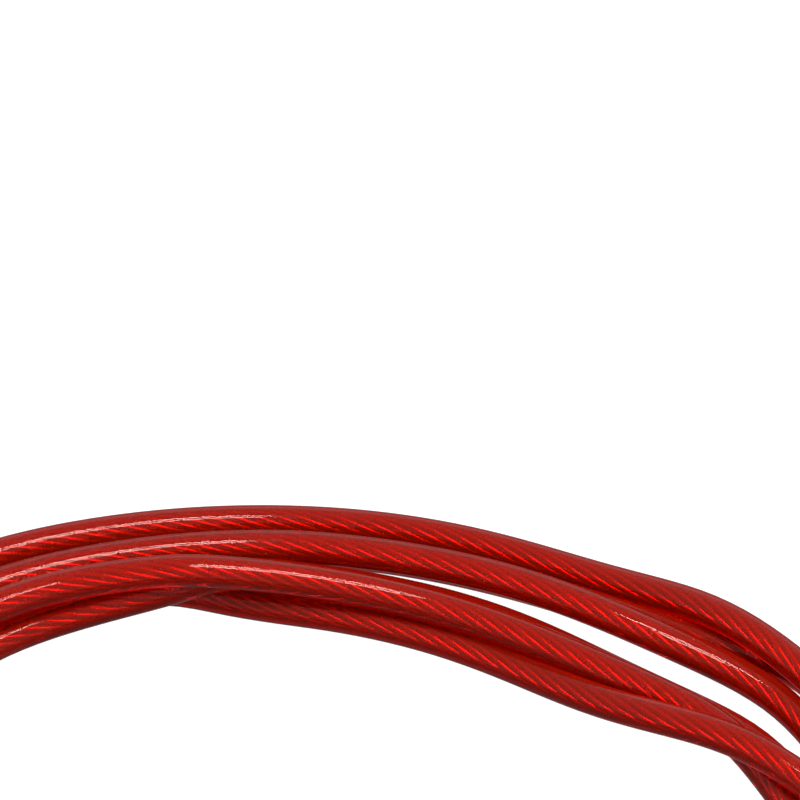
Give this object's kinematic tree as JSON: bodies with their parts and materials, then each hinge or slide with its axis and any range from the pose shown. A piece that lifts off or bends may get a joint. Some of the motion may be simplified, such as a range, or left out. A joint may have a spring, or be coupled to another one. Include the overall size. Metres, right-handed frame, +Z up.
{
  "type": "cable luggage lock",
  "caption": "Combination luggage lock: an in-line body with turning digit dials, a toothed plug that pulls out of its socket, and a jacketed steel cable wound in an oval coil.",
  "frame": {"origin": "bottom centre of the lock body's box, without the plug and the cable", "axes": "+X along the lock body towards the socket, +Z up, +Y from the lock body towards the coil"},
  "size_m": [0.1618, 0.1448, 0.0213],
  "materials": {
    "housing": "fine-textured graphite plastic",
    "nickel": "satin nickel plating",
    "steel": "plain bright steel",
    "brass": "machined",
    "dial": "satin black with ivory digits",
    "mark": "ivory inlay",
    "rubber": "matte black",
    "jacket": "glossy see-through red vinyl over twisted steel rope"
  },
  "bodies": {
    "body": {"housing_lower": "housing", "housing_upper": "housing", "housing_screw_1": "steel", "housing_screw_2": "steel", "housing_screw_3": "steel", "housing_screw_4": "steel", "index_mark": "mark", "end_cap_fixed": "nickel", "end_cap_socket": "nickel", "socket_seal": "rubber", "core_sleeve": "steel", "ring_spacer_1": "steel", "ring_spacer_2": "steel", "thrust_washer": "steel", "detent_spring": "steel", "ejector_spring": "steel", "cable_ferrule": "steel", "cable_boot": "rubber", "cable_lead": "jacket", "cable_coil": "jacket", "cable_tail": "jacket"},
    "wheel_1": {"dial_1": "dial", "code_ring_1": "brass"},
    "wheel_2": {"dial_2": "dial", "code_ring_2": "brass"},
    "wheel_3": {"dial_3": "dial", "code_ring_3": "brass"},
    "plug": {"plug_pin": "steel", "plug_body": "nickel", "plug_ferrule": "steel", "plug_boot": "rubber"},
    "ejector": {"ejector": "brass"},
    "setting_slider": {"reset_slider": "nickel"}
  },
  "joints": [
    {"name": "dial_1_turn", "type": "hinge", "parent": "body", "child": "wheel_1", "pos_m": [-0.002, 0, 0.0116], "axis": [1, 0, 0], "continuous": true},
    {"name": "dial_2_turn", "type": "hinge", "parent": "body", "child": "wheel_2", "pos_m": [0.007, 0, 0.0116], "axis": [1, 0, 0], "continuous": true},
    {"name": "dial_3_turn", "type": "hinge", "parent": "body", "child": "wheel_3", "pos_m": [0.016, 0, 0.0116], "axis": [1, 0, 0], "continuous": true},
    {"name": "plug_pull", "type": "slide", "parent": "body", "child": "plug", "axis": [1, 0, 0], "range_m": [0, 0.04], "deforming": ["cable_tail"]},
    {"name": "ejector_push", "type": "slide", "parent": "body", "child": "ejector", "axis": [1, 0, 0], "range_m": [0, 0.003], "deforming": ["ejector_spring"]},
    {"name": "setting_slide", "type": "slide", "parent": "body", "child": "setting_slider", "axis": [1, 0, 0], "range_m": [0, 0.002]}
  ],
  "couplings": [
    {"joint": "ejector_push", "follows": "plug_pull", "ratio": 0.075}
  ]
}
